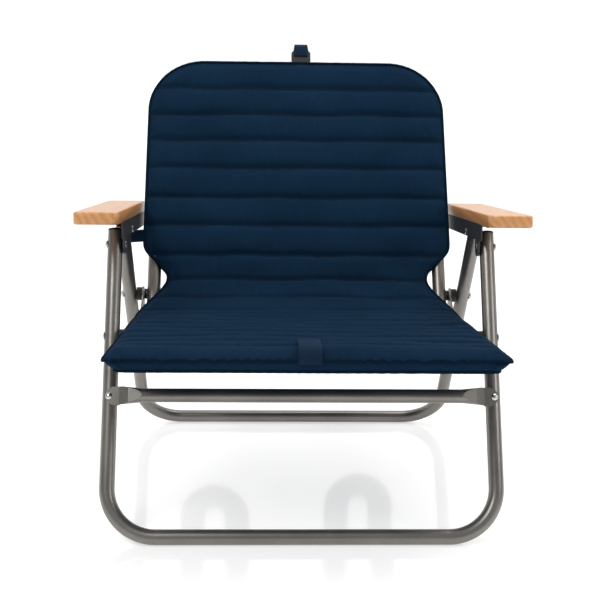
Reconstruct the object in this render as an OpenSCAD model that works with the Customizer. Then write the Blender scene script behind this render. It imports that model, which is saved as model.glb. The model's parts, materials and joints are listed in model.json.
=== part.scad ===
// Low folding beach chair with a padded cover, backpack straps and wooden armrests.
// Front legs, armrests, seat and backrest fold as one linkage; the rear legs swing on the seat.
// Millimetres, +Z up, the sitter faces -Y, the floor is Z = 0.

/* [Frame] */
// Outside diameter of the leg, seat and back tubes
tube_d = 22; // [18:0.5:28]
// Wall thickness of every tube
tube_wall = 1.5; // [1:0.1:2.5]
// Half the distance between the leg tube centres
leg_x = 279; // [230:1:330]
// Centre-line radius of the leg frame bends
leg_bend = 70; // [45:1:100]
// Backward lean of the front legs, degrees from vertical
front_lean = 24.45; // [15:0.05:32]
// Forward lean of the rear legs, degrees from vertical
rear_lean = 38; // [30:0.1:45]
// Distance between the front and rear floor bars
foot_depth = 588; // [480:1:680]
// Length of the front legs from the floor bar centre to the open end
front_leg_len = 449; // [400:1:480]

/* [Crossbar] */
// Diameter of the front crossbar tube
bar_d = 20; // [16:0.5:22]
// Height of the front crossbar centre
bar_z = 192; // [150:1:230]

/* [Seat] */
// Height of the pivot of the seat on the front legs
seat_pivot_z = 274.5; // [250:0.5:300]
// Upward slope of the seat towards the front, degrees
seat_slope = 4; // [0:0.5:8]
// Half the distance between the seat rail centres
rail_x = 245; // [210:0.5:250]
// Length of the seat rails in front of the front leg pivot
rail_front = 217; // [180:1:240]
// Half width of the seat cushion
seat_half_w = 258.8; // [230:0.2:264]

/* [Back] */
// Backward lean of the backrest, degrees from vertical
back_lean = 30; // [26:0.5:40]
// Length of the back frame from its pivot to the top tube centre
back_len = 415; // [360:1:470]
// Half the distance between the back tube centres
back_x = 240; // [205:0.5:241]
// Half width of the back cushion
back_half_w = 257; // [220:0.5:258]
// Thickness of the back cushion
back_pad_t = 28; // [26:0.5:30]

/* [Armrests] */
// Width of each wooden armrest
arm_w = 64; // [45:1:70]
// Thickness of each wooden armrest
arm_t = 18; // [14:0.5:24]
// Length of each wooden armrest
arm_len = 392; // [340:1:400]
// Downward slope of the armrests towards the rear, degrees
arm_slope = 4; // [0:0.5:6]
// Thickness of the steel armrest bracket
plate_t = 2.5; // [2:0.1:3]

/* [Straps] */
// Width of the shoulder straps
strap_w = 43; // [35:1:50]
// Outer radius of the turn at the bottom of each shoulder strap
strap_bow = 64; // [50:1:80]
// Height of the lowest point of the left shoulder strap
strap_low_left = 122; // [90:1:200]
// Height of the lowest point of the right shoulder strap
strap_low_right = 106; // [90:1:200]
// Distance from the middle of the chair to the inner edge of the left strap
strap_in_left = 82; // [60:1:100]
// Distance from the middle of the chair to the inner edge of the right strap
strap_in_right = 66; // [60:1:100]
// How far behind the front floor bar the left strap hangs
strap_y_left = 565; // [550:1:590]
// How far behind the front floor bar the right strap hangs
strap_y_right = 586; // [550:1:590]

/* [Hidden] */
$fn = 48;
r = tube_d / 2;
gap = 0.3;
// Where the outer ends of the straps meet the back, as [y, z] from the front bar
strap_end = [409.5, 324.4];
pin_d = 6;
// Side view: front pivot of the arms, seat pivots and rear pivot, as [y, z] from the front bar
fdir = [sin(front_lean), cos(front_lean)];
arm_s = 429;
arm_p = [arm_s * fdir[0], r + arm_s * fdir[1]];
seat_s = (seat_pivot_z - r) / cos(front_lean);
seat_p = [seat_s * fdir[0], seat_pivot_z];
rear_z = 289.5;
rear_s = (rear_z - r) / cos(rear_lean);
rear_p = [foot_depth - rear_s * sin(rear_lean), rear_z];
hook_z = 412;
hook_s = (hook_z - r) / cos(rear_lean);
hook_p = [foot_depth - hook_s * sin(rear_lean), hook_z];
rear_leg_len = hook_s + 8;
rail_rear = (rear_p[0] - seat_p[0]) / cos(seat_slope) + 6;
// Sideways positions
leg_in = leg_x - r;
leg_out = leg_x + r;
plate_x = leg_in - 1.8;
lug_x = rail_x + r;
lug_t = 2.4;
// Armrest reference: the top front edge of the wood
arm_front = [85, 461];
arm_x = plate_x - plate_t - 1.2;
// The row's origin is under the middle of the bounding box
y_mid = 249.7;

// ---------- helpers ----------
// Places children in the chair frame, whose y runs from the front floor bar
module chair() translate([0, -y_mid, 0]) children();
// A child drawn along X from 0 outwards, at a side-view point, on both sides
module both(p) for (s = [0, 1]) mirror([s, 0, 0]) translate([0, p[0], p[1]]) children();
module xcyl(x0, x1, d, n = 48) translate([x0, 0, 0]) rotate([0, 90, 0]) cylinder(d = d, h = x1 - x0, $fn = n);
module xring(x0, x1, d, hole) difference() {
  xcyl(x0, x1, d);
  xcyl(x0 - 1, x1 + 1, hole);
}
// Upright U of round bar in the XZ plane, floor bar centre on the X axis
module u_bar(half_w, len, bend, d, extra = 0) {
  translate([-(half_w - bend), 0, 0]) rotate([0, 90, 0]) cylinder(d = d, h = 2 * (half_w - bend));
  for (s = [0, 1]) mirror([s, 0, 0]) {
    translate([half_w, 0, bend]) cylinder(d = d, h = len - bend + extra);
    translate([half_w - bend, 0, bend]) rotate([90, 0, 0]) rotate([0, 0, -90])
      rotate_extrude(angle = 90) translate([bend, 0]) circle(d = d);
  }
}
module u_tube(half_w, len, bend) difference() {
  u_bar(half_w, len, bend, tube_d);
  u_bar(half_w, len, bend, tube_d - 2 * tube_wall, 5);
}
// Local frames of the moving parts
module on_front() translate([0, 0, r]) rotate([-front_lean, 0, 0]) children();
module on_rear() translate([0, foot_depth, r]) rotate([rear_lean, 0, 0]) children();
module on_seat() translate([0, seat_p[0], seat_p[1]]) rotate([-seat_slope, 0, 0]) children();
module on_back() translate([0, rear_p[0], rear_p[1]]) rotate([-back_lean, 0, 0]) children();
module on_arm() translate([0, arm_front[0], arm_front[1]]) rotate([-arm_slope, 0, 0]) children();

// ---------- frames ----------
module front_frame() color([0.62, 0.6, 0.57]) chair() difference() {
  on_front() u_tube(leg_x, front_leg_len, leg_bend);
  both(arm_p) xcyl(leg_in - 5, leg_out + 5, pin_d + 0.1);
  both(seat_p) xcyl(leg_in - 5, leg_out + 5, pin_d + 0.1);
  on_front() for (s = [-1, 1]) translate([s * leg_x, 0, (bar_z - r) / cos(front_lean)])
    rotate([90, 0, 0]) cylinder(d = 5.1, h = 30);
}

module rear_frame() color([0.62, 0.6, 0.57]) chair() difference() {
  on_rear() u_tube(leg_x, rear_leg_len, leg_bend);
  both(rear_p) xcyl(leg_in - 5, leg_out + 5, pin_d + 0.1);
  // Open hook at the top of each leg, which catches the stud under the armrest
  on_rear() for (s = [0, 1]) mirror([s, 0, 0]) translate([0, 0, hook_s]) {
    xcyl(leg_in - 5, leg_out + 5, 8.6);
    translate([leg_in - 5, -4.3, 0]) cube([tube_d + 10, 8.6, 20]);
  }
}

module seat_frame() color([0.62, 0.6, 0.57]) chair() on_seat() difference() {
  translate([0, -rail_front, 0]) rotate([-90, 0, 0]) u_tube(rail_x, rail_front + rail_rear, 45);
  for (s = [0, 1]) mirror([s, 0, 0]) xcyl(rail_x - r - 5, lug_x + 5, pin_d + 0.1);
  for (s = [0, 1], y = [-46, -16]) mirror([s, 0, 0]) translate([0, rail_rear + y, 0]) xcyl(rail_x, lug_x + 5, 4.1);
}

module back_frame() color([0.62, 0.6, 0.57]) chair() on_back() difference() {
  translate([0, 0, back_len]) rotate([180, 0, 0]) u_tube(back_x, back_len + 13, 80);
  for (s = [0, 1]) mirror([s, 0, 0]) xcyl(back_x - r - 5, back_x + r + 5, pin_d + 0.1);
}

// ---------- front crossbar with flattened ends ----------
lug_h = 27;
neck = 33;
fold_x = leg_x - 15.5;
lug_mid = leg_x - 8.5;
bar_off = 20.5;
// The flat ends sit against the legs, behind the bar's centre
lug_y = bar_off - r - 2.2;
module on_bar() on_front() translate([0, -bar_off, (bar_z - r) / cos(front_lean)]) children();
module bar_end() {
  translate([fold_x, lug_y - 2, -lug_h / 2]) cube([lug_mid - fold_x, 4, lug_h]);
  translate([lug_mid, lug_y + 2, 0]) rotate([90, 0, 0]) cylinder(d = lug_h, h = 4);
  intersection() {
    translate([fold_x - neck, 0, 0]) rotate([0, 90, 0]) cylinder(d1 = bar_d, d2 = lug_h, h = neck + 0.5);
    translate([fold_x - neck, 0, -lug_h / 2]) linear_extrude(lug_h)
      polygon([[0, -bar_d / 2], [neck * 0.6, -bar_d / 2 + 4], [neck, lug_y - 4], [neck + 0.5, lug_y - 2],
               [neck + 0.5, lug_y + 2], [neck, lug_y + 2], [0, bar_d / 2]]);
  }
}
module front_crossbar() color([0.62, 0.6, 0.57]) chair() on_bar() difference() {
  union() {
    xcyl(-(fold_x - neck), fold_x - neck, bar_d);
    for (s = [0, 1]) mirror([s, 0, 0]) bar_end();
  }
  xcyl(-(fold_x - neck - 2), fold_x - neck - 2, bar_d - 2 * tube_wall);
  for (s = [-1, 1]) translate([s * leg_x, lug_y + 5, 0]) rotate([90, 0, 0]) cylinder(d = 5.1, h = 10);
}
module crossbar_rivets() color([0.8, 0.8, 0.8]) chair() on_bar() for (s = [-1, 1])
  translate([s * leg_x, lug_y, 0]) rotate([90, 0, 0]) {
    translate([0, 0, -8]) cylinder(d = 5, h = 10);
    translate([0, 0, 2]) intersection() {
      cylinder(d = 10, h = 2.4);
      translate([0, 0, -4]) sphere(d = 12.8);
    }
  }

// ---------- plastic plugs ----------
module plug(t = 3) {
  cylinder(d = tube_d, h = t);
  translate([0, 0, -14]) cylinder(d = tube_d - 2 * tube_wall - 0.2, h = 14);
}
module leg_caps() color([0.05, 0.05, 0.05]) chair() on_front() for (s = [0, 1]) mirror([s, 0, 0]) {
  translate([leg_x, 0, front_leg_len]) plug();
  // Tongue that keeps the bracket off the tube
  difference() {
    translate([leg_in - 1.4, -6, arm_s - 13]) cube([1.4 + 0.0, 12, front_leg_len - arm_s + 13 + 3]);
    translate([0, 0, arm_s]) xcyl(leg_in - 5, leg_in + 5, pin_d + 0.6);
  }
  translate([leg_in - 1.4, -6, front_leg_len]) cube([6, 12, 3]);
}
module rear_caps() color([0.05, 0.05, 0.05]) chair() on_seat() for (s = [-1, 1])
  translate([s * rail_x, rail_rear, 0]) rotate([-90, 0, 0]) plug(2.5);
module back_end_caps() color([0.05, 0.05, 0.05]) chair() on_back() for (s = [-1, 1])
  translate([s * back_x, 0, -13]) rotate([180, 0, 0]) difference() {
    cylinder(d = tube_d, h = 2.5);
    translate([0, 0, 1.5]) cylinder(d = 8, h = 2);
  }

// ---------- armrests ----------
flange_w = 22;
arm_rear = arm_len - 6;
module bracket() difference() {
  union() {
    // Upright web, drop tab with a round end, and the flange under the wood
    rotate([90, 0, 90]) linear_extrude(plate_t)
      polygon([[66, -arm_t - 24], [66, -arm_t], [arm_rear, -arm_t], [arm_rear, -arm_t - 24]]);
    rotate([arm_slope, 0, 0]) translate([0, arm_p[0] - arm_front[0], arm_p[1] - arm_front[1]]) {
      xcyl(0, plate_t, 28);
      translate([0, -14, 0]) cube([plate_t, 28, 20]);
    }
    translate([0, 66, -arm_t - plate_t]) cube([flange_w, arm_rear - 66, plate_t]);
  }
  rotate([arm_slope, 0, 0]) {
    translate([0, arm_p[0] - arm_front[0], arm_p[1] - arm_front[1]]) xcyl(-5, 5, pin_d + 0.12);
    translate([0, hook_p[0] - arm_front[0], hook_p[1] - arm_front[1]]) xcyl(-5, 5, 6.1);
  }
  for (y = screw_y) translate([14, y, -arm_t - 5]) cylinder(d = 4.6, h = 10);
}
screw_y = [84, 230, 366];
module place_bracket(s) chair() mirror([s, 0, 0]) on_arm() translate([plate_x - plate_t, 0, 0]) bracket();
module arm_bracket_left() color([0.3, 0.3, 0.3]) place_bracket(1);
module arm_bracket_right() color([0.3, 0.3, 0.3]) place_bracket(0);

module board() difference() {
  translate([0, 0, -arm_t]) linear_extrude(arm_t) union() {
    translate([7, 0]) square([arm_w - 14, arm_len]);
    translate([0, 7]) square([arm_w, arm_len - 14]);
    for (x = [7, arm_w - 7], y = [7, arm_len - 7]) translate([x, y]) circle(r = 7);
  }
  for (y = screw_y) translate([14 + 1.2, y, -arm_t - 1]) cylinder(d = 3.6, h = 13.2);
}
module place_board(s) chair() mirror([s, 0, 0]) on_arm() translate([arm_x, 0, 0]) board();
module armrest_left() color([0.85, 0.68, 0.45]) place_board(1);
module armrest_right() color([0.85, 0.68, 0.45]) place_board(0);

module arm_screws() color([0.1, 0.1, 0.1]) chair() for (s = [0, 1]) mirror([s, 0, 0]) on_arm()
  for (y = screw_y) translate([plate_x - plate_t + 14, y, -arm_t - plate_t]) {
    cylinder(d = 3.4, h = 13);
    intersection() {
      translate([0, 0, -2.6]) cylinder(d = 8, h = 2.6);
      translate([0, 0, 2]) sphere(d = 9.8);
    }
  }

// ---------- pivots ----------
module dome(x, d, h) intersection() {
  xcyl(x, x + h, d);
  translate([x + h - d * 0.62, 0, 0]) sphere(d = d * 1.24);
}
module arm_pivot_bolts() color([0.75, 0.75, 0.75]) chair() both(arm_p) {
  xcyl(plate_x - plate_t - 0.2, leg_out, pin_d);
  dome(leg_out, 11, 4);
  xcyl(plate_x - plate_t - 1.4, plate_x - plate_t - 0.2, 10);
}
module arm_studs() color([0.75, 0.75, 0.75]) chair() both(hook_p) {
  xcyl(plate_x - plate_t, plate_x, 6);
  xcyl(plate_x - plate_t - 1.6, plate_x - plate_t, 9.5);
  xcyl(plate_x, leg_out - 2, 8);
}
module seat_pivot_rivets() color([0.7, 0.7, 0.7]) chair() both(seat_p) {
  xcyl(rail_x - r - 0.2, leg_out, pin_d);
  dome(leg_out, 12, 3);
  xcyl(rail_x - r - 2.2, rail_x - r - 0.2, 10);
}
module seat_pivot_spacers() color([0.05, 0.05, 0.05]) chair() both(seat_p)
  xring(lug_x + gap, leg_in - gap, 20, pin_d + 0.3);

// Plates that carry the seat rails on the rear pivot
module lug_shape() difference() {
  rotate([90, 0, 90]) linear_extrude(lug_t) union() {
    circle(d = 25);
    polygon([[-12.5, 0], [12.5, 0], [9, -34], [-44, -32], [-46, -22]]);
  }
  xcyl(-5, 5, pin_d + 0.1);
}
module seat_lugs() color([0.6, 0.6, 0.6]) chair() difference() {
  both(rear_p) translate([lug_x, 0, 0]) lug_shape();
  on_seat() for (s = [0, 1], y = [-46, -16]) mirror([s, 0, 0]) translate([0, rail_rear + y, 0]) xcyl(lug_x - 5, lug_x + 5, 4.1);
}
module lug_rivets() color([0.7, 0.7, 0.7]) chair() on_seat() for (s = [0, 1], y = [-46, -16])
  mirror([s, 0, 0]) translate([0, rail_rear + y, 0]) {
    xcyl(lug_x - 6, lug_x + lug_t, 4);
    xcyl(lug_x + lug_t, lug_x + lug_t + 1.6, 8);
  }
module hinge_spacers() color([0.04, 0.04, 0.04]) chair() both(rear_p) {
  xring(lug_x + lug_t + gap, leg_in - gap, 22, pin_d + 0.3);
  xring(back_x + r + gap, lug_x - gap - 1, 17, pin_d + 0.3);
}
module hinge_washers() color([0.75, 0.75, 0.75]) chair() both(rear_p)
  xring(lug_x - 1, lug_x - 0.1, 20, pin_d + 0.3);
module hinge_bolts() color([0.3, 0.3, 0.3]) chair() both(rear_p) {
  xcyl(back_x - r - 0.2, leg_out, pin_d);
  dome(leg_out, 12, 4.5);
  xcyl(back_x - r - 5, back_x - r - 0.2, 10, 6);
}
// ---------- padded cover ----------
// Back outline, x across and y up the backrest from the pivot
module back_outline() difference() {
  union() {
    translate([-back_half_w, 19]) square([2 * back_half_w, back_len + 16 - 19 - 95]);
    translate([-(back_half_w - 95), 19]) square([2 * (back_half_w - 95), back_len + 16 - 19]);
    for (s = [-1, 1]) translate([s * (back_half_w - 95), back_len + 16 - 95]) circle(r = 95, $fn = 96);
  }
  for (s = [-1, 1]) translate([s * (back_half_w + 16), 26]) circle(r = 60, $fn = 96);
}
module back_pad() color([0.08, 0.13, 0.22]) chair() on_back() difference() {
  rotate([90, 0, 0]) translate([0, 0, -back_pad_t / 2]) linear_extrude(back_pad_t) back_outline();
  translate([0, 0, back_len]) rotate([180, 0, 0]) u_bar(back_x, back_len + 13, 80, tube_d + 2 * gap, 5);
}
// Seat outline, x across and y rearwards from the front leg pivot
seat_rear = rail_rear - 25;
module seat_outline() difference() {
  union() {
    translate([-seat_half_w, -rail_front + 22]) square([2 * seat_half_w, seat_rear + rail_front - 22]);
    translate([-(seat_half_w - 36), -rail_front - 14]) square([2 * (seat_half_w - 36), 40]);
    for (s = [-1, 1]) translate([s * (seat_half_w - 36), -rail_front + 22]) circle(r = 36, $fn = 96);
  }
  for (s = [-1, 1]) translate([s * (seat_half_w + 12), seat_rear + 4]) circle(r = 58, $fn = 96);
}
module seat_pad() color([0.08, 0.13, 0.22]) chair() on_seat() difference() {
  translate([0, 0, -13]) linear_extrude(29) seat_outline();
  translate([0, -rail_front, 0]) rotate([-90, 0, 0]) u_bar(rail_x, rail_front + rail_rear, 45, tube_d + 2 * gap, 8);
  // Room for the pivot rivets
  for (s = [0, 1]) mirror([s, 0, 0]) xcyl(rail_x - r - 3, leg_in, 22);
}

// ---------- webbing and buckle ----------
module front_tab() color([0.1, 0.15, 0.25]) chair() on_seat() translate([0, -rail_front - 14, 0]) {
  translate([-13.7, -1.8, -12]) cube([31, 1.6, 30]);
  translate([-13.7, -1.8, 16.2]) cube([31, 60, 1.6]);
}
top_s = back_len + 16;
buckle_x = 9;
module top_webbing() color([0.07, 0.1, 0.18]) chair() on_back() translate([buckle_x, 0, 0]) {
  translate([-12.5, -back_pad_t / 2 - 1.8, top_s - 24]) cube([25, 1.5, 24 + 2]);
  translate([-12.5, back_pad_t / 2 + 0.3, top_s - 24]) cube([25, 1.5, 24 + 2]);
  translate([-12.5, -back_pad_t / 2 - 1.8, top_s + 0.5]) cube([25, back_pad_t + 3.6, 1.5]);
  translate([-12.5, -0.75, top_s + 1.5]) cube([25, 1.5, 6]);
}
module buckle_socket() color([0.04, 0.04, 0.04]) chair() on_back() translate([buckle_x, 0, top_s + 8]) difference() {
  rotate([90, 0, 0]) translate([0, 0, -5]) linear_extrude(10)
    polygon([[-15, -1], [15, -1], [17, 5], [17, 20], [13.5, 24], [-13.5, 24], [-17, 20], [-17, 5]]);
  // Throat for the plug, side windows and the slot of the fixed webbing
  translate([-11.4, -3, 5]) cube([22.8, 6, 30]);
  translate([-20, -3, 7]) cube([40, 6, 10]);
  translate([-13, -0.9, -2]) cube([26, 1.8, 4]);
}
module buckle_plug() color([0.04, 0.04, 0.04]) chair() on_back() translate([buckle_x, 0, top_s + 8]) {
  difference() {
    rotate([90, 0, 0]) translate([0, 0, -5]) linear_extrude(10)
      polygon([[-13.5, 24.4], [13.5, 24.4], [11.5, 37], [-11.5, 37]]);
    translate([-9.5, -6, 29]) cube([19, 12, 4]);
  }
  translate([-2, -2.6, 8]) cube([4, 5.2, 18]);
  for (s = [0, 1]) mirror([s, 0, 0]) {
    translate([7.6, -2.6, 14]) cube([3.2, 5.2, 12]);
    rotate([90, 0, 0]) translate([0, 0, -2.6]) linear_extrude(5.2)
      polygon([[7.6, 15], [15.6, 15], [15.6, 13], [10.5, 8.2], [7.6, 8.2]]);
  }
}
// Short webbing tab at the left edge of the backrest cover
module side_webbing() color([0.08, 0.12, 0.2]) chair() translate([-263.2, 423, 368.5]) cube([6, 1.6, 22]);

// Shoulder straps: a flat loop hanging from the top of the back, its outer end at the back's lower rear face
module strap(s, in_x, low, y) chair() mirror([s, 0, 0]) translate([0, y, 0]) {
  bow = strap_bow;
  out_x = in_x + 2 * bow;
  end_y = strap_end[0] - y;
  end_z = strap_end[1] - low - bow - 40;
  translate([0, 1.5, 0]) rotate([90, 0, 0]) linear_extrude(3) {
    translate([in_x, low + bow]) square([strap_w, 587 - low - bow + (y - 560) / tan(back_lean)]);
    translate([out_x - strap_w, low + bow]) square([strap_w, 40]);
    difference() {
      translate([in_x + bow, low + bow]) circle(r = bow, $fn = 96);
      translate([in_x + bow, low + bow]) circle(r = bow - strap_w, $fn = 96);
      translate([in_x - 1, low + bow]) square([2 * bow + 2, bow + 1]);
    }
  }
  translate([out_x - strap_w, 0, low + bow + 40]) rotate([90, 0, 90]) linear_extrude(strap_w)
    polygon([[-1.5, 0], [1.5, 0], [1.5, 20.8], [end_y + 1.6, end_z + 2.5], [end_y, end_z], [-1.5, 19.2]]);
}
module shoulder_strap_left() color([0.07, 0.1, 0.18]) strap(1, strap_in_left, strap_low_left, strap_y_left);
module shoulder_strap_right() color([0.07, 0.1, 0.18]) strap(0, strap_in_right, strap_low_right, strap_y_right);

front_frame();
rear_frame();
seat_frame();
back_frame();
front_crossbar();
crossbar_rivets();
leg_caps();
rear_caps();
back_end_caps();
arm_bracket_left();
arm_bracket_right();
armrest_left();
armrest_right();
arm_screws();
arm_pivot_bolts();
arm_studs();
seat_pivot_rivets();
seat_pivot_spacers();
seat_lugs();
lug_rivets();
hinge_spacers();
hinge_washers();
hinge_bolts();
back_pad();
seat_pad();
front_tab();
top_webbing();
buckle_socket();
buckle_plug();
side_webbing();
shoulder_strap_left();
shoulder_strap_right();
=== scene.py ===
"""Folding beach chair: quilted cover, tube frame, wooden armrests and backpack straps."""
import json
import math
import bpy
import bmesh
import numpy as np
from mathutils import Matrix, Vector


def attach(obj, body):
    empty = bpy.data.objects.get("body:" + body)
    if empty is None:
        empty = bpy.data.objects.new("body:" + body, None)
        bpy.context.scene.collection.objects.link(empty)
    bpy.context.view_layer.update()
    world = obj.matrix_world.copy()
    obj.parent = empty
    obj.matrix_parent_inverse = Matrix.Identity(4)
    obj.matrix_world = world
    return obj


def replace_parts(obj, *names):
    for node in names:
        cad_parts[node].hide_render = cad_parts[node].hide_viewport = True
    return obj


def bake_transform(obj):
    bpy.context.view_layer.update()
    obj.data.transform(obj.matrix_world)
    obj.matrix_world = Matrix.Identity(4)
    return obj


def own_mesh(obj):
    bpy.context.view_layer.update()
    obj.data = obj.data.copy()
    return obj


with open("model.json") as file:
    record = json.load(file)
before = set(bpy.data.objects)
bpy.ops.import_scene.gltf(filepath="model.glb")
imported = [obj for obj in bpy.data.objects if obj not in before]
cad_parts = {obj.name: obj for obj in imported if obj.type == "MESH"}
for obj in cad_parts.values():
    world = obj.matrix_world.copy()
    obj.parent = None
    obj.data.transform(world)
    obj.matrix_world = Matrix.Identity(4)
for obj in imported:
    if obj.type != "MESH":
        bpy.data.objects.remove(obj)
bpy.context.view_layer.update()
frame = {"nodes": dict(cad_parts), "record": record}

MM = 0.001
Y_MID = 249.7  # the row's origin, in mm behind the front floor bar


def v3(x, y, z):
    """Millimetres in the chair's own side view to metres in the row frame."""
    return Vector((x * MM, (y - Y_MID) * MM, z * MM))


# ---------------------------------------------------------------- side-view geometry, mm
R = 11.0
FRONT_LEAN, REAR_LEAN, BACK_LEAN, SLOPE = map(math.radians, (24.45, 38.0, 30.0, 4.0))
SEAT_P = ((274.5 - R) * math.tan(FRONT_LEAN), 274.5)
REAR_P = (588.0 - (289.5 - R) * math.tan(REAR_LEAN), 289.5)
ARM_FRONT = (85.0, 461.0)
SEAT_DIR = np.array([math.cos(SLOPE), -math.sin(SLOPE)])   # rearwards along the seat
SEAT_UP = np.array([math.sin(SLOPE), math.cos(SLOPE)])
BACK_DIR = np.array([math.sin(BACK_LEAN), math.cos(BACK_LEAN)])
BACK_OUT = np.array([-math.cos(BACK_LEAN), math.sin(BACK_LEAN)])  # out of the sitter's side


# ---------------------------------------------------------------- material helpers
def new_material(name):
    m = bpy.data.materials.new(name)
    m.use_nodes = True
    nt = m.node_tree
    b = nt.nodes["Principled BSDF"]
    return m, nt, b


def ramp(nt, source, stops):
    r = nt.nodes.new("ShaderNodeValToRGB")
    els = r.color_ramp.elements
    while len(els) < len(stops):
        els.new(0.5)
    for e, (pos, col) in zip(els, stops):
        e.position = pos
        e.color = (*col, 1) if len(col) == 3 else col
    nt.links.new(source, r.inputs[0])
    return r.outputs[0]


def bump(nt, height, b, strength, distance, before=None):
    n = nt.nodes.new("ShaderNodeBump")
    n.inputs["Strength"].default_value = strength
    n.inputs["Distance"].default_value = distance
    nt.links.new(height, n.inputs["Height"])
    if before is not None:
        nt.links.new(before, n.inputs["Normal"])
    nt.links.new(n.outputs[0], b.inputs["Normal"])
    return n.outputs[0]


def math_node(nt, op, a, b=None):
    n = nt.nodes.new("ShaderNodeMath")
    n.operation = op
    for i, val in enumerate((a, b)):
        if val is None:
            continue
        if isinstance(val, (int, float)):
            n.inputs[i].default_value = val
        else:
            nt.links.new(val, n.inputs[i])
    return n.outputs[0]


def noise(nt, vector, scale, detail=3.0, rough=0.5, stretch=None):
    if stretch is not None:
        mp = nt.nodes.new("ShaderNodeMapping")
        mp.inputs["Scale"].default_value = stretch
        nt.links.new(vector, mp.inputs[0])
        vector = mp.outputs[0]
    n = nt.nodes.new("ShaderNodeTexNoise")
    n.inputs["Scale"].default_value = scale
    n.inputs["Detail"].default_value = detail
    n.inputs["Roughness"].default_value = rough
    nt.links.new(vector, n.inputs["Vector"])
    return n.outputs[0]


def coords(nt, kind="Object"):
    return nt.nodes.new("ShaderNodeTexCoord").outputs[kind]


def painted_metal(name, base, dark, rough, metallic, grain=0.12):
    """Powder coat: fine orange peel, a metallic fleck and a few rubbed spots."""
    m, nt, b = new_material(name)
    co = coords(nt)
    fleck = noise(nt, co, 1400, 2)
    wear = noise(nt, co, 11, 5, 0.6)
    mix = math_node(nt, "ADD", math_node(nt, "MULTIPLY", fleck, 0.45), math_node(nt, "MULTIPLY", wear, 0.55))
    nt.links.new(ramp(nt, mix, [(0.35, dark), (0.62, base)]), b.inputs["Base Color"])
    b.inputs["Metallic"].default_value = metallic
    rr = nt.nodes.new("ShaderNodeMapRange")
    rr.inputs["To Min"].default_value = rough - 0.06
    rr.inputs["To Max"].default_value = rough + 0.1
    nt.links.new(wear, rr.inputs[0])
    nt.links.new(rr.outputs[0], b.inputs["Roughness"])
    bump(nt, noise(nt, co, 620, 2), b, grain, 0.0006)
    return m


def steel(name, tone=0.62, rough=0.24):
    m, nt, b = new_material(name)
    co = coords(nt)
    scratch = noise(nt, co, 900, 3, 0.6, (1, 1, 0.15))
    stops = [(0.3, (tone * 0.75,) * 3), (0.7, (tone, tone, tone * 0.99))]
    nt.links.new(ramp(nt, scratch, stops), b.inputs["Base Color"])
    b.inputs["Metallic"].default_value = 1.0
    b.inputs["Roughness"].default_value = rough
    bump(nt, scratch, b, 0.1, 0.0003)
    return m


def plastic(name, tone=0.0085, rough=0.42):
    m, nt, b = new_material(name)
    co = coords(nt)
    grain = noise(nt, co, 1600, 2)
    stops = [(0.3, (tone * 0.8,) * 3), (0.7, (tone * 1.3,) * 3)]
    nt.links.new(ramp(nt, noise(nt, co, 35, 3), stops), b.inputs["Base Color"])
    rr = nt.nodes.new("ShaderNodeMapRange")
    rr.inputs["To Min"].default_value = rough - 0.08
    rr.inputs["To Max"].default_value = rough + 0.1
    nt.links.new(grain, rr.inputs[0])
    nt.links.new(rr.outputs[0], b.inputs["Roughness"])
    b.inputs["Specular IOR Level"].default_value = 0.3
    bump(nt, grain, b, 0.25, 0.0003)
    return m


def wood(name):
    """Light rubberwood: growth bands drawn along the board and short pores."""
    m, nt, b = new_material(name)
    co = coords(nt)
    warp = noise(nt, co, 9, 3, 0.55, (1.0, 0.16, 1.0))
    bands = nt.nodes.new("ShaderNodeTexWave")
    bands.wave_type, bands.bands_direction = "BANDS", "X"
    bands.inputs["Scale"].default_value = 26
    bands.inputs["Distortion"].default_value = 5.5
    bands.inputs["Detail"].default_value = 3
    bands.inputs["Detail Scale"].default_value = 1.2
    mp = nt.nodes.new("ShaderNodeMapping")
    mp.inputs["Scale"].default_value = (1.0, 0.09, 1.4)
    mp.inputs["Rotation"].default_value = (0, math.radians(24), 0)
    nt.links.new(co, mp.inputs[0])
    nt.links.new(mp.outputs[0], bands.inputs["Vector"])
    pores = noise(nt, co, 420, 3, 0.6, (1.0, 0.05, 1.0))
    fibre = noise(nt, co, 130, 4, 0.6, (1.0, 0.035, 1.0))
    tone = math_node(nt, "ADD", math_node(nt, "MULTIPLY", bands.outputs["Fac"], 0.34),
                     math_node(nt, "MULTIPLY", warp, 0.36))
    tone = math_node(nt, "ADD", tone, math_node(nt, "MULTIPLY", fibre, 0.34))
    col = ramp(nt, tone, [(0.2, (0.45, 0.186, 0.054)), (0.5, (0.56, 0.256, 0.084)), (0.85, (0.63, 0.325, 0.122))])
    pore_mask = ramp(nt, pores, [(0.33, (0.72, 0.66, 0.6)), (0.46, (1, 1, 1))])
    mul = nt.nodes.new("ShaderNodeMix")
    mul.data_type, mul.blend_type = "RGBA", "MULTIPLY"
    mul.inputs["Factor"].default_value = 0.75
    nt.links.new(col, mul.inputs["A"])
    nt.links.new(pore_mask, mul.inputs["B"])
    nt.links.new(mul.outputs["Result"], b.inputs["Base Color"])
    b.inputs["Roughness"].default_value = 0.46
    b.inputs["Coat Weight"].default_value = 0.7
    b.inputs["Coat Roughness"].default_value = 0.32
    h = math_node(nt, "ADD", math_node(nt, "MULTIPLY", pores, 0.7), math_node(nt, "MULTIPLY", fibre, 0.5))
    bump(nt, h, b, 0.22, 0.0006)
    return m


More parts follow.
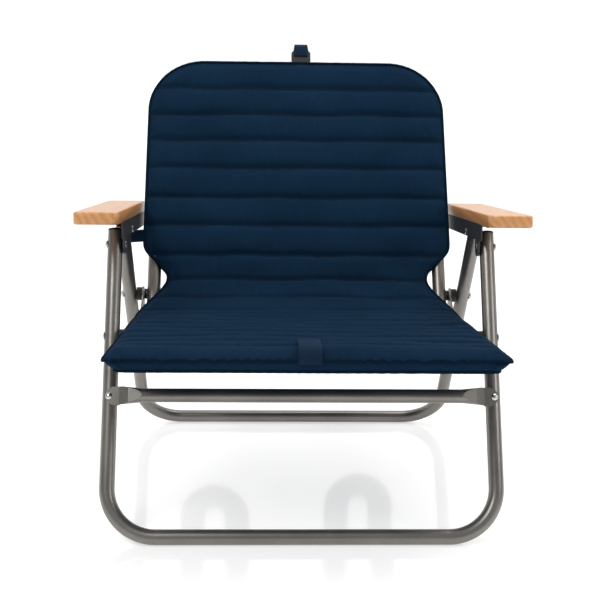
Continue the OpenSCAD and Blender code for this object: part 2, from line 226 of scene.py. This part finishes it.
def fabric(name, dark, light, thread=0.75, sheen=0.35, rough=0.82, twill=0.35, shine=0.03):
    """Woven cloth on a UV map in metres. thread is the weave's pitch in mm."""
    m, nt, b = new_material(name)
    uv = coords(nt, "UV")
    sep = nt.nodes.new("ShaderNodeSeparateXYZ")
    nt.links.new(uv, sep.inputs[0])
    k = 2 * math.pi / (thread * MM)
    warp = math_node(nt, "SINE", math_node(nt, "MULTIPLY", sep.outputs[0], k))
    weft = math_node(nt, "SINE", math_node(nt, "MULTIPLY", sep.outputs[1], k))
    weave = math_node(nt, "MULTIPLY", warp, weft)
    fuzz = noise(nt, uv, 900, 4, 0.65)
    slub = noise(nt, uv, 260, 3, 0.6, (1.0, 0.12, 1.0))
    blotch = noise(nt, uv, 9, 4, 0.55)
    tone = math_node(nt, "ADD", math_node(nt, "MULTIPLY", weave, 0.10), math_node(nt, "MULTIPLY", fuzz, twill))
    tone = math_node(nt, "ADD", tone, math_node(nt, "MULTIPLY", slub, 0.3))
    tone = math_node(nt, "ADD", tone, math_node(nt, "MULTIPLY", blotch, 0.4))
    nt.links.new(ramp(nt, tone, [(0.3, dark), (0.75, light)]), b.inputs["Base Color"])
    b.inputs["Roughness"].default_value = rough
    b.inputs["Sheen Weight"].default_value = sheen
    b.inputs["Sheen Roughness"].default_value = 0.45
    b.inputs["Sheen Tint"].default_value = (0.35, 0.5, 0.8, 1)
    b.inputs["Specular IOR Level"].default_value = shine
    n1 = bump(nt, noise(nt, uv, 75, 5, 0.6), b, 0.22, 0.0016)
    bump(nt, math_node(nt, "ADD", weave, math_node(nt, "MULTIPLY", fuzz, 1.2)), b, 0.28, 0.0003, n1)
    return m


M = {
    "frame_paint": painted_metal("frame_paint", (0.250, 0.237, 0.218), (0.175, 0.163, 0.150), 0.33, 0.82),
    "bracket_paint": painted_metal("bracket_paint", (0.055, 0.056, 0.06), (0.035, 0.035, 0.038), 0.48, 0.35),
    "bright_steel": steel("bright_steel"),
    "black_plastic": plastic("black_plastic"),
    "oak_wood": wood("oak_wood"),
    "navy_fabric": fabric("navy_fabric", (0.0026, 0.0122, 0.0290), (0.0062, 0.0235, 0.0510), sheen=0.015),
    "navy_piping": fabric("navy_piping", (0.0012, 0.0062, 0.0150), (0.0032, 0.0135, 0.0290), 0.6, 0.01),
    "navy_webbing": fabric("navy_webbing", (0.004, 0.0115, 0.026), (0.011, 0.028, 0.056), 1.9, 0.05, 0.7, 0.3),
}
M["navy_thread"] = plastic("navy_thread", 0.009, 0.6)

SLOT_OF = {s["node"]: s["material_slot"] for s in frame["record"]["subparts"]}
for name, ob in frame["nodes"].items():
    if not ob.material_slots:
        ob.data.materials.append(None)
    for ms in ob.material_slots:
        ms.material = M[SLOT_OF[name]]


# ---------------------------------------------------------------- mesh helpers
def make_mesh(name, verts, faces, mat, uvs=None, smooth=True):
    me = bpy.data.meshes.new(name)
    me.from_pydata([tuple(p) for p in verts], [], faces)
    me.materials.append(mat)
    if uvs is not None:
        layer = me.uv_layers.new(name="UVMap")
        idx = np.empty(len(me.loops), int)
        me.loops.foreach_get("vertex_index", idx)
        layer.data.foreach_set("uv", np.asarray(uvs, float)[idx].ravel())
    me.polygons.foreach_set("use_smooth", [smooth] * len(me.polygons))
    me.update()
    ob = bpy.data.objects.new(name, me)
    bpy.context.scene.collection.objects.link(ob)
    bm = bmesh.new()
    bm.from_mesh(me)
    bmesh.ops.recalc_face_normals(bm, faces=bm.faces)
    bm.to_mesh(me)
    bm.free()
    return ob


def smooth_noise(n_terms, wavelengths, seed):
    """A wavy function of one value, built from sines of random phase; about -1 to 1."""
    g = np.random.default_rng(seed)
    lam = g.uniform(*wavelengths, n_terms)
    ph = g.uniform(0, 2 * np.pi, n_terms)
    am = g.uniform(0.4, 1.0, n_terms)
    am /= am.sum() ** 0.5 * 1.3

    def f(x):
        return sum(a * np.sin(2 * np.pi * x / w + p) for a, w, p in zip(am, lam, ph))
    return f


def tube_along(name, pts, radius, mat, sides=10, closed=False):
    """A round cord that follows points in metres."""
    pts = np.asarray(pts, float)
    n = len(pts)
    tan = np.roll(pts, -1, 0) - np.roll(pts, 1, 0)
    if not closed:
        tan[0], tan[-1] = pts[1] - pts[0], pts[-1] - pts[-2]
    tan /= np.linalg.norm(tan, axis=1)[:, None]
    ref = np.array([0.0, 0.31, 0.95])
    up = np.cross(tan, ref)
    up /= np.linalg.norm(up, axis=1)[:, None]
    side = np.cross(tan, up)
    ang = np.arange(sides) * 2 * np.pi / sides
    spokes = np.cos(ang)[None, :, None] * up[:, None] + np.sin(ang)[None, :, None] * side[:, None]
    rings = pts[:, None] + radius * spokes
    verts = rings.reshape(-1, 3)
    s = np.concatenate([[0], np.cumsum(np.linalg.norm(np.diff(pts, axis=0), axis=1))])
    uvs = [(a * radius, s[i]) for i in range(n) for a in ang]
    faces = []
    for i in range(n if closed else n - 1):
        for j in range(sides):
            k, l = (i + 1) % n, (j + 1) % sides
            faces.append((i * sides + j, i * sides + l, k * sides + l, k * sides + j))
    if not closed:
        faces += [tuple(range(sides))[::-1], tuple((n - 1) * sides + j for j in range(sides))]
    return make_mesh(name, verts, faces, mat, uvs)


def ribbon(name, pts, across, width, thick, mat, crown=0.0, n_across=10):
    """A band of webbing that follows points in metres; across gives its sideways direction at each point.
    Selvedges are rounded, and crown swells the middle."""
    pts, across = np.asarray(pts, float), np.asarray(across, float)
    if across.ndim == 1:
        across = np.tile(across, (len(pts), 1))
    tan = np.gradient(pts, axis=0)
    nrm = np.cross(across, tan)
    nrm /= np.linalg.norm(nrm, axis=1)[:, None]
    u = np.linspace(-1, 1, n_across + 1)
    half = (thick / 2) * np.sqrt(np.clip(1 - np.abs(u) ** 8, 0.05, 1)) + crown / 2 * (1 - u ** 4)
    ring_u = np.concatenate([u, u[::-1]])
    ring_h = np.concatenate([half, -half[::-1]])
    rings = pts[:, None] + across[:, None] * (ring_u * width / 2)[None, :, None] + nrm[:, None] * ring_h[None, :, None]
    n, k = len(pts), len(ring_u)
    s = np.concatenate([[0], np.cumsum(np.linalg.norm(np.diff(pts, axis=0), axis=1))])
    uvs = [(x * width / 2, s[i]) for i in range(n) for x in ring_u]
    faces = [(i * k + j, i * k + (j + 1) % k, (i + 1) * k + (j + 1) % k, (i + 1) * k + j)
             for i in range(n - 1) for j in range(k)]
    faces += [tuple(range(k))[::-1], tuple((n - 1) * k + j for j in range(k))]
    return make_mesh(name, rings.reshape(-1, 3), faces, mat, uvs)


def stitches(name, points, mat, length=3.0, pitch=4.2, radius=0.45):
    """Short raised threads along a line of points in metres, every pitch mm."""
    pts = np.asarray(points, float)
    s = np.concatenate([[0], np.cumsum(np.linalg.norm(np.diff(pts, axis=0), axis=1))]) / MM
    verts, faces = [], []
    for a in np.arange(1.0, s[-1] - length, pitch):
        p, q = [np.array([np.interp(t, s, pts[:, c]) for c in range(3)]) for t in (a, a + length)]
        t = (q - p) / np.linalg.norm(q - p)
        u = np.cross(t, (0.1, 0.2, 0.97))
        u /= np.linalg.norm(u)
        w = np.cross(t, u)
        base = len(verts)
        verts.append(p - t * radius * 0.4 * MM)
        for f in (0.15, 0.85):
            c = p + (q - p) * f
            verts += [c + radius * MM * (math.cos(g) * u + math.sin(g) * w) for g in np.arange(5) * 2 * math.pi / 5]
        verts.append(q + t * radius * 0.4 * MM)
        for j in range(5):
            k = (j + 1) % 5
            faces += [(base, base + 1 + k, base + 1 + j), (base + 1 + j, base + 1 + k, base + 6 + k, base + 6 + j),
                      (base + 6 + j, base + 6 + k, base + 11)]
    return make_mesh(name, verts, faces, mat)


# ---------------------------------------------------------------- quilted cover
SEAT_END = 232.0        # front edge of the seat cover, mm in front of the leg pivot along the seat
BACK_TOP = 432.0        # top of the back cover, mm from the rear pivot along the back
FILLET = 139.0          # radius of the curve in which the cover hangs past the hinges
CORNER = 13.0
seat_mid = np.array(SEAT_P) + 1.5 * SEAT_UP
back_mid = np.array(REAR_P)
# Where the two middle planes meet: seat_mid + a SEAT_DIR = back_mid + b BACK_DIR
a_s, b_s = np.linalg.solve(np.column_stack([SEAT_DIR, -BACK_DIR]), back_mid - seat_mid)
turn = math.acos(float(SEAT_DIR @ BACK_DIR))
cut = FILLET * math.tan(turn / 2)
Q_SEAT = SEAT_END + a_s - cut                 # length of the flat seat
Q_ARC = FILLET * turn
Q_BACK = BACK_TOP - (b_s + cut)
Q_ALL = Q_SEAT + Q_ARC + Q_BACK
CREASE = seat_mid + (a_s - cut) * SEAT_DIR
CENTRE = CREASE + FILLET * SEAT_UP


def mid_path(q):
    """Point and sitter-side normal of the cover's middle, q mm from the front edge; all in the side view."""
    q = np.asarray(q, float)
    seat = (seat_mid - SEAT_END * SEAT_DIR)[None] + q[:, None] * SEAT_DIR
    ang = np.clip((q - Q_SEAT) / FILLET, 0, turn)
    direction = np.cos(ang)[:, None] * SEAT_DIR + np.sin(ang)[:, None] * SEAT_UP
    nrm = -np.sin(ang)[:, None] * SEAT_DIR + np.cos(ang)[:, None] * SEAT_UP
    arc = CENTRE - FILLET * nrm
    back = (back_mid + (b_s + cut) * BACK_DIR)[None] + (q - Q_SEAT - Q_ARC)[:, None] * BACK_DIR
    p = np.where((q < Q_SEAT)[:, None], seat, np.where((q < Q_SEAT + Q_ARC)[:, None], arc, back))
    return p, nrm, direction


def back_q(s):
    return Q_SEAT + Q_ARC + s - (b_s + cut)


# Half width at stations along the cover; the two ends are rounded corners
STATIONS = [(-100, 264), (60, 263), (330, 261), (405, 260), (428, 255), (446, 246), (462, 236), (478, 225), (490, 218),
            (500, 215), (510, 216), (521, 221), (532, 231), (543, 244), (553, 253), (563, 257), (1500, 257)]


def half_width(q):
    x, w = zip(*STATIONS)
    base = np.interp(q, x, w)
    soft = sum(np.interp(q + d, x, w) for d in (-6, -3, 3, 6))
    base = (base + soft) / 5
    for corner, edge in ((CORNER, q), (95.0, Q_ALL - q)):
        e = np.clip(corner - edge, 0, corner)
        base = base - (corner - np.sqrt(np.clip(corner ** 2 - e ** 2, 0, None)))
    return base


def stations(step):
    """Rows along the cover, closer together round the corners."""
    a = CORNER * (1 - np.cos(np.linspace(0, np.pi / 2, 8)))
    b = Q_ALL - 95 * (1 - np.cos(np.linspace(np.pi / 2, 0, 39)))
    m = np.linspace(CORNER, Q_ALL - 95, int((Q_ALL - 95) / step))
    return np.concatenate([a, m[1:-1], b])


JUNCTION = Q_SEAT + Q_ARC * 0.5
SEAMS = [48, 86, 124, 161, 198, 238, 278, 320, 362, 406, 455, 499, 547] + [
    back_q(s) for s in (119, 171, 226, 279.5, 329, 380)]


SEAM_DEPTH, SEAM_HALF_WIDTH = 3.3, 3.4  # mm, of the sewn channels


def cover():
    q = stations(3.0)
    nx = 170
    xi = np.sin(np.linspace(-1, 1, nx + 1) * np.pi / 2 * 0.9) / np.sin(np.pi / 2 * 0.9)
    w = half_width(q)
    X = w[:, None] * xi[None]
    Q = np.repeat(q[:, None], nx + 1, 1)
    # Distance from each point to the outline
    loop = outline(900)
    D = np.full(X.shape, 1e9)
    for i in range(0, len(loop), 60):
        seg = loop[i:i + 60]
        d = np.hypot(X[..., None] - seg[:, 0], Q[..., None] - seg[:, 1]).min(-1)
        D = np.minimum(D, d)
    p, nrm, _ = mid_path(q)
    shell = 1 - np.clip(D / 27, 0, 1)
    body = np.sqrt(np.clip(1 - shell ** 2, 0, 1))            # 0 at the edge, 1 inside
    thin = 1 - 0.22 * np.exp(-((Q - JUNCTION) / 70) ** 2)     # flatter where the cover hangs free
    low_edge, full_h = 11.2, 14.6
    on_back = np.clip((Q - 430) / 90, 0, 1)
    edge_h = 1.0 + 11.2 * on_back
    top = edge_h + (full_h - edge_h) * body
    wander = [smooth_noise(4, (90, 260), 100 + i) for i in range(len(SEAMS))]
    gather = [smooth_noise(9, (9, 30), 200 + i) for i in range(len(SEAMS))]
    fine = [smooth_noise(8, (6, 14), 300 + i) for i in range(len(SEAMS))]
    nearest = np.full(X.shape, 1e9)
    crown = np.zeros(X.shape)
    pucker = np.zeros(X.shape)
    lines = [np.full(X.shape, 0.0)] + [s + 1.3 * wander[i](X) for i, s in enumerate(SEAMS)] + [np.full(X.shape, Q_ALL)]
    for i in range(len(lines) - 1):
        lo, hi = lines[i], lines[i + 1]
        t = (Q - lo) / (hi - lo)
        inside = (t >= 0) & (t <= 1)
        c = np.clip(1 - np.abs(2 * t - 1) ** 2.6, 0, 1) ** 0.8
        uneven = 1 + 0.16 * np.sin(X / 61 + 1.7 * i) + 0.12 * np.sin(X / 23 + 2.9 * i)
        lift = (3.6 + 2.4 * np.clip((Q - 440) / 90, 0, 1)) * uneven
        crown = np.where(inside, c * lift, crown)
    for i, s in enumerate(SEAMS):
        d = Q - lines[i + 1]
        nearest = np.minimum(nearest, np.abs(d))
        side = np.sign(d)
        a = gather[i](X + 0.35 * d * np.sin(X / 47 + i))
        f = fine[i](X - 0.2 * d)
        reach = np.exp(-np.abs(d) / 10.5) * (1 - np.exp(-(d / 2.6) ** 2))
        pucker += reach * (1.15 * a + 0.55 * f * np.exp(-np.abs(d) / 7)) * (1 + 0.2 * side)
    groove = SEAM_DEPTH * np.exp(-(nearest / SEAM_HALF_WIDTH) ** 2)
    bulk = 0.9 * np.sin(X / 83 + Q / 59) + 0.7 * np.sin(X / 41 - Q / 37 + 1.0) + 0.5 * np.sin(Q / 21 + X / 190)
    # Long slack folds that cross the channels, strongest low on the back and at the rear of the seat
    slack = np.exp(-((Q - JUNCTION) / 95) ** 2)
    folds = 1.5 * slack * np.sin(np.abs(X) / 26 + Q / 15) * np.clip(np.abs(X) / 140, 0.15, 1)
    along = smooth_noise(9, (10, 34), 901)(Q + 0.4 * np.abs(X)) * np.exp(-(w[:, None] - np.abs(X)) / 13)
    ends = smooth_noise(9, (9, 28), 902)(X) * (0.45 * np.exp(-Q / 12) + np.exp(-(Q_ALL - Q) / 16))
    rim = np.clip(D / 5, 0, 1)
    inner = np.clip(D / 16, 0, 1) ** 0.8
    relief = (crown + bulk + folds) * inner + (pucker - groove) * rim + (0.8 * along + 1.0 * ends) * rim
    top = (top + relief) * thin
    under = low_edge + 1.3 * body * (1 - 0.35 * np.exp(-((Q - JUNCTION) / 40) ** 2)) + 0.25 * bulk * rim
    under = (under + 0.5 * (crown - groove) * np.clip(D / 20, 0, 1) * on_back) * thin
    ny = len(q)

    def surface(off):
        pts = p[:, None] + nrm[:, None] * off[..., None]
        return np.stack([X * MM, (pts[..., 0] - Y_MID) * MM, pts[..., 1] * MM], -1)
    up, dn = surface(top), surface(-under)
    inset = 11.0 * np.clip((Q_SEAT - Q) / 60, 0, 1) + 3.0
    dn[..., 0] *= (1 - inset / np.maximum(w[:, None], 1) * np.abs(xi[None]) ** 3)
    dn[..., 1] += 6.0 * MM * np.clip(1 - Q / 30, 0, 1)
    verts = list(up.reshape(-1, 3)) + list(dn.reshape(-1, 3))
    uv = list(zip((X * MM).ravel(), (Q * MM).ravel()))
    uvs = uv + uv
    k = nx + 1
    off = ny * k
    faces = []
    for i in range(ny - 1):
        for j in range(nx):
            a0 = i * k + j
            faces.append((a0, a0 + 1, a0 + k + 1, a0 + k))
            faces.append((off + a0, off + a0 + k, off + a0 + k + 1, off + a0 + 1))
    # Gusset between the two outlines, with a soft belly
    ring = [(0, j) for j in range(nx)] + [(i, nx) for i in range(ny - 1)]
    ring += [(ny - 1, j) for j in range(nx, 0, -1)] + [(i, 0) for i in range(ny - 1, 0, -1)]
    idx = [i * k + j for i, j in ring]
    T, B = np.array([verts[a] for a in idx]), np.array([verts[off + a] for a in idx])
    P2 = np.array([[X[i, j], Q[i, j]] for i, j in ring])
    tang = np.roll(P2, -1, 0) - np.roll(P2, 1, 0)
    tang /= np.linalg.norm(tang, axis=1)[:, None]
    outw = np.stack([tang[:, 1], -tang[:, 0]], 1)
    dirs = mid_path(np.clip(P2[:, 1], 0, Q_ALL))[2]
    out3 = np.stack([outw[:, 0], outw[:, 1] * dirs[:, 0], outw[:, 1] * dirs[:, 1]], 1)
    arc = np.concatenate([[0], np.cumsum(np.linalg.norm(np.diff(P2, axis=0), axis=1))])
    ripple = smooth_noise(10, (9, 30), 77)(arc)
    prev_ring, steps = idx, 5
    for s in range(1, steps):
        f = s / steps
        belly = (1.7 * math.sin(math.pi * f) + 0.15 * ripple * math.sin(math.pi * f)) * MM
        belly = np.asarray(belly)[:, None] if np.ndim(belly) else belly
        pts = T * (1 - f) + B * f + out3 * belly
        base = len(verts)
        verts += list(pts)
        uvs += [(a * MM, f * 0.022) for a in arc]
        cur = [base + i for i in range(len(idx))]
        for i in range(len(idx)):
            n = (i + 1) % len(idx)
            faces.append((prev_ring[i], cur[i], cur[n], prev_ring[n]))
        prev_ring = cur
    low_ring = [off + a for a in idx]
    for i in range(len(idx)):
        n = (i + 1) % len(idx)
        faces.append((prev_ring[i], low_ring[i], low_ring[n], prev_ring[n]))
    ob = make_mesh("quilted_cover", verts, faces, M["navy_fabric"], uvs)
    seam_pts = []
    for i in range(len(SEAMS)):
        row = []
        for j in range(2, nx - 1):
            qq = lines[i + 1][0, j] if lines[i + 1].ndim > 1 else lines[i + 1]
            r = int(np.clip(np.searchsorted(q, SEAMS[i]), 1, ny - 1))
            qq = SEAMS[i] + 1.3 * wander[i](X[r, j])
            r = int(np.clip(np.searchsorted(q, qq), 1, ny - 1))
            f = (qq - q[r - 1]) / (q[r] - q[r - 1])
            pt = up[r - 1, j] * (1 - f) + up[r, j] * f
            n2 = nrm[r]
            row.append(pt + np.array([0, n2[0], n2[1]]) * 0.15 * MM)
        seam_pts.append(row)
    return ob, T, B, out3, seam_pts


def outline(n):
    q = np.concatenate([CORNER * (1 - np.cos(np.linspace(0, np.pi / 2, 30))), np.linspace(CORNER, Q_ALL - 95, n),
                        Q_ALL - 95 * (1 - np.cos(np.linspace(np.pi / 2, 0, 90)))])
    w = half_width(q)
    right = np.stack([w, q], 1)
    left = np.stack([-w, q], 1)
    e0 = np.stack([np.linspace(-w[0], w[0], 160), np.zeros(160)], 1)
    e1 = np.stack([np.linspace(-w[-1], w[-1], 120), np.full(120, Q_ALL)], 1)
    return np.concatenate([right, left, e0, e1])


cover_ob, rim_top, rim_low, rim_out, seam_lines = cover()
lift = (rim_top - rim_low)
lift /= np.linalg.norm(lift, axis=1)[:, None]
rim_line = rim_top + rim_out * 0.7 * MM + lift * 0.5 * MM
pipe_top = tube_along("piping_top", rim_line, 2.3 * MM, M["navy_piping"], 10, True)
pipe_low = tube_along("piping_under", rim_low + rim_out * 0.5 * MM, 2.0 * MM, M["navy_piping"], 8, True)
pieces_cover = [cover_ob, pipe_top, pipe_low]
for i, line in enumerate(seam_lines):
    st = stitches(f"seam_thread_{i}", line, M["navy_thread"])
    if SEAMS[i] < Q_SEAT - 40:
        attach(st, "seat")
    elif SEAMS[i] > back_q(19):
        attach(st, "back")
    else:
        pieces_cover.append(st)
for ob in pieces_cover:
    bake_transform(ob)
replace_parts(cover_ob, "seat_pad", "back_pad")


# ---------------------------------------------------------------- armrests
def armrest(name, side):
    """A board with eased edges and rounded corners; the inner front corner is rounder than the rest."""
    x0, x1, length, thick = 262.5, 326.5, 392.0, 18.0
    verts2 = []
    corners = ((x0 + 12, 12, 12, 180), (x1 - 5, 5, 5, 270),
               (x1 - 8, length - 8, 8, 0), (x0 + 8, length - 8, 8, 90))
    for cx, cy, rad, a0 in corners:
        for t in np.linspace(0, 90, 9):
            a = math.radians(a0 + t)
            verts2.append((cx + rad * math.cos(a), cy + rad * math.sin(a)))
    loops = [(-thick, 2.2), (-thick + 0.75, 0.75), (-thick + 2.2, 0.0), (-thick / 2, 0.0),
             (-2.2, 0.0), (-0.75, 0.75), (0.0, 2.2), (0.0, 9.0)]
    mid = np.array([(x0 + x1) / 2, length / 2])
    pts = []
    for z, inset in loops:
        for p in np.array(verts2):
            d = mid - p
            pull = np.array([np.sign(d[0]) * min(inset, abs(d[0])), np.sign(d[1]) * min(inset, abs(d[1]))])
            q = p + pull * np.array([min(1, abs(d[0]) / 20), 1])
            y, zz = q[1] * math.cos(SLOPE) + z * math.sin(SLOPE), -q[1] * math.sin(SLOPE) + z * math.cos(SLOPE)
            pts.append(v3(side * q[0], ARM_FRONT[0] + y, ARM_FRONT[1] + zz))
    n = len(verts2)
    faces = [(i * n + j, i * n + (j + 1) % n, (i + 1) * n + (j + 1) % n, (i + 1) * n + j)
             for i in range(len(loops) - 1) for j in range(n)]
    faces += [tuple(range(n))[::-1], tuple((len(loops) - 1) * n + j for j in range(n))]
    ob = make_mesh(name, pts, faces, M["oak_wood"])
    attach(ob, "arms")
    return ob


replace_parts(armrest("wood_armrest_left", -1), "armrest_left")
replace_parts(armrest("wood_armrest_right", 1), "armrest_right")


# ---------------------------------------------------------------- webbing
def cover_point(q, lift, x=0.0):
    """A point over the cover's middle surface, in metres in the row frame."""
    p, n, _ = mid_path([q])
    y, z = p[0] + n[0] * lift
    return np.array(v3(x, y, z))


TAB_X = 2.0
TAB_STEPS = [(-1.0, 0.0), (-2.6, 2.5), (-2.8, 7.0), (-1.0, 13.0), (3.0, 18.0), (9.0, 21.3),
             (18, 22.6), (32, 22.8), (46, 21.6), (58, 22.4), (66, 21.6)]
tab_q, tab_h = [np.interp(np.linspace(0, 10, 41), range(11), c) for c in zip(*TAB_STEPS)]
tab_path = [cover_point(a, b, TAB_X) for a, b in zip(tab_q, tab_h)]
front_tab = ribbon("front_tab_webbing", tab_path, (1, 0, 0), 31 * MM, 1.5 * MM, M["navy_webbing"], 0.3 * MM)
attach(front_tab, "seat")
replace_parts(front_tab, "front_tab")


# Webbing tab at the cover's left edge, running out behind the bracket
SIDE_EDGE, SIDE_REACH, SIDE_DROP = 256, 28.5, 2  # mm
side_path = [v3(-SIDE_EDGE - SIDE_REACH * t, 423.8, 380.2 - SIDE_DROP * t) for t in np.linspace(0, 1, 24)]
side_web = ribbon("side_tab", side_path, (0, 0, 1), 21 * MM, 1.6 * MM, M["navy_webbing"], 0.2 * MM)
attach(side_web, "back")
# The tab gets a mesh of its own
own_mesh(side_web)
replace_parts(side_web, "side_webbing")


def back_point(x, up_back, out):
    """A point by its place on the backrest: up from the pivot, and out towards the sitter."""
    p = back_mid + up_back * BACK_DIR + out * BACK_OUT
    return np.array(v3(x, p[0], p[1]))


BUCKLE_X = 9.0
over_steps = [(404, 17.5), (418, 17.2), (428, 14.5), (434, 8.5), (436.5, 1.5),
              (434, -8), (428, -13.2), (418, -14.6), (400, -14.8)]
oq, oh = [np.interp(np.linspace(0, 8, 49), range(9), c) for c in zip(*over_steps)]
top_web = ribbon("top_webbing_loop", [back_point(BUCKLE_X, a, b) for a, b in zip(oq, oh)], (1, 0, 0), 25 * MM, 1.5 * MM,
                 M["navy_webbing"], 0.2 * MM)
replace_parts(top_web, "top_webbing")
hang_steps = [(452, 6.2), (462, 7.4), (470, 6.6), (474.5, 3.0), (475.8, -1.5),
              (472, -6.8), (460, -9.5), (446, -11.5), (432, -17.5), (414, -18.5)]
hq, hh = [np.interp(np.linspace(0, 9, 55), range(10), c) for c in zip(*hang_steps)]
hang_web = ribbon("buckle_strap", [back_point(BUCKLE_X, a, b) for a, b in zip(hq, hh)], (1, 0, 0), 24 * MM, 1.5 * MM,
                  M["navy_webbing"], 0.2 * MM)
for ob in (top_web, hang_web):
    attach(ob, "back")


# ---------------------------------------------------------------- shoulder straps
STRAP_W, BOW = 43.0, 64.0


def shoulder_strap(name, side, inner, low, hang, cad):
    """A padded band that hangs from the top of the back, turns at the bottom and rises to the back's lower edge."""
    path, across = [], []
    mid_r = BOW - STRAP_W / 2
    xi_, xc = inner + STRAP_W / 2, inner + BOW
    top_z = 596 + (hang - 560) / math.tan(BACK_LEAN)
    for t in np.linspace(0, 1, 70):                               # sewn end, then straight down
        z = top_z + t * (low + BOW - top_z)
        y = hang - 5.5 * math.exp(-(top_z - z) / 22) + 2.5 * math.sin(math.pi * t)
        path.append((xi_, y, z))
        across.append((-1, 0, 0))
    for a in np.linspace(0, math.pi, 46)[1:]:                     # edgewise turn
        path.append((xc - mid_r * math.cos(a), hang + 1.5 * math.sin(a), low + BOW - mid_r * math.sin(a)))
        across.append((-math.cos(a), 0, -math.sin(a)))
    xo, z0, bend = xc + mid_r, low + BOW + 42, 26.0
    for z in np.linspace(low + BOW, z0, 12)[1:]:
        path.append((xo, hang, z))
        across.append((1, 0, 0))
    for a in np.radians(np.linspace(0, 56, 14))[1:]:              # over towards the back
        path.append((xo, hang - bend * (1 - math.cos(a)), z0 + bend * math.sin(a)))
        across.append((1, 0, 0))
    y1, z1 = path[-1][1], path[-1][2]
    end = np.array([411.5, 326.0])
    for t in np.linspace(0, 1, 34)[1:]:
        sag = -9 * math.sin(math.pi * t)
        path.append((xo, y1 + (end[0] - y1) * t, z1 + (end[1] - z1) * t + sag))
        across.append((1, 0, 0))
    pts = [v3(side * x, y, z) for x, y, z in path]
    acr = np.array([(side * x, y, z) for x, y, z in across])
    band = ribbon(name, pts, acr, STRAP_W * MM, 2.2 * MM, M["navy_webbing"], 5.0 * MM, 14)
    found = [band]
    for k, edge in enumerate((-1, 1)):
        line = [np.array(p) + a * edge * STRAP_W / 2 * MM for p, a in zip(pts, acr)]
        found.append(tube_along(f"{name}_binding_{k}", line, 1.9 * MM, M["navy_piping"], 8))
        behind = np.array([0, 3.4 * MM, 0])
        inner_line = [np.array(p) + a * edge * (STRAP_W / 2 - 5.5) * MM + behind for p, a in zip(pts[:118], acr)]
        found.append(stitches(f"{name}_stitch_{k}", inner_line, M["navy_thread"]))
    for ob in found:
        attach(ob, "back")
        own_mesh(ob)
    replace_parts(band, cad)


shoulder_strap("strap_left", -1, 82.0, 122.0, 565.0, "shoulder_strap_left")
shoulder_strap("strap_right", 1, 66.0, 106.0, 586.0, "shoulder_strap_right")


# ---------------------------------------------------------------- camera, light, floor
def aim_camera():
    cam = bpy.data.objects.new("camera", bpy.data.cameras.new("camera"))
    bpy.context.scene.collection.objects.link(cam)
    bpy.context.scene.camera = cam
    cam.data.sensor_width = 36
    cam.data.lens = 70.64
    yaw, pitch, roll = map(math.radians, (-2.052, -11.225, 0.7345))
    right = Vector((math.cos(yaw), math.sin(yaw), 0))
    ahead = Vector((-math.sin(yaw), math.cos(yaw), 0))
    fwd = math.cos(pitch) * ahead + math.sin(pitch) * Vector((0, 0, 1))
    up = -math.sin(pitch) * ahead + math.cos(pitch) * Vector((0, 0, 1))
    r = math.cos(roll) * right + math.sin(roll) * up
    u = -math.sin(roll) * right + math.cos(roll) * up
    m = Matrix((r, u, -fwd)).transposed().to_4x4()
    m.translation = v3(-64.6, -1571.1, 665.7)
    cam.matrix_world = m
    cam.data.clip_start, cam.data.clip_end = 0.05, 60


def area_light(name, at, target, size, power, size_y=None):
    d = bpy.data.lights.new(name, "AREA")
    d.shape = "RECTANGLE"
    d.size, d.size_y, d.energy = size, size_y or size, power
    o = bpy.data.objects.new(name, d)
    bpy.context.scene.collection.objects.link(o)
    o.location = at
    o.rotation_euler = (Vector(target) - Vector(at)).to_track_quat("-Z", "Y").to_euler()


aim_camera()
floor_mat, nt, b = new_material("floor_paint")
b.inputs["Base Color"].default_value = (0.7, 0.7, 0.7, 1)
b.inputs["Roughness"].default_value = 0.09
b.inputs["Specular IOR Level"].default_value = 0.5
b.inputs["Emission Color"].default_value = (1, 1, 1, 1)
b.inputs["Emission Strength"].default_value = 0.50
FLOOR_HALF = 60.0  # metres, far enough that its edge stays out of every view
floor_corners = [(x * FLOOR_HALF, y * FLOOR_HALF, 0) for x, y in ((-1, -1), (1, -1), (1, 1), (-1, 1))]
floor = make_mesh("floor", floor_corners, [(0, 1, 2, 3)], floor_mat)
world = bpy.context.scene.world or bpy.data.worlds.new("world")
bpy.context.scene.world = world
world.use_nodes = True
wt = world.node_tree
wsep = wt.nodes.new("ShaderNodeSeparateXYZ")
wt.links.new(wt.nodes.new("ShaderNodeTexCoord").outputs["Generated"], wsep.inputs[0])
wt.links.new(ramp(wt, wsep.outputs[1], [(0.0, (0.34,) * 3), (0.22, (1, 1, 1))]), wt.nodes["Background"].inputs[0])
wt.nodes["Background"].inputs[1].default_value = 1.0
seen = wt.nodes.new("ShaderNodeBackground")
seen.inputs[1].default_value = 1.04
pick = wt.nodes.new("ShaderNodeMixShader")
wt.links.new(wt.nodes.new("ShaderNodeLightPath").outputs["Is Camera Ray"], pick.inputs[0])
wt.links.new(wt.nodes["Background"].outputs[0], pick.inputs[1])
wt.links.new(seen.outputs[0], pick.inputs[2])
wt.links.new(pick.outputs[0], wt.nodes["World Output"].inputs[0])
seen.inputs[0].default_value = (1, 1, 1, 1)
area_light("key_light", (-1.3, -1.7, 2.3), (0, 0, 0.3), 1.1, 34)
area_light("top_light", (0.5, 0.2, 2.6), (0, 0.05, 0.3), 1.8, 35)
area_light("side_light", (1.9, -1.2, 1.2), (0, 0, 0.3), 0.8, 9)
bpy.context.scene.view_settings.view_transform = "Standard"
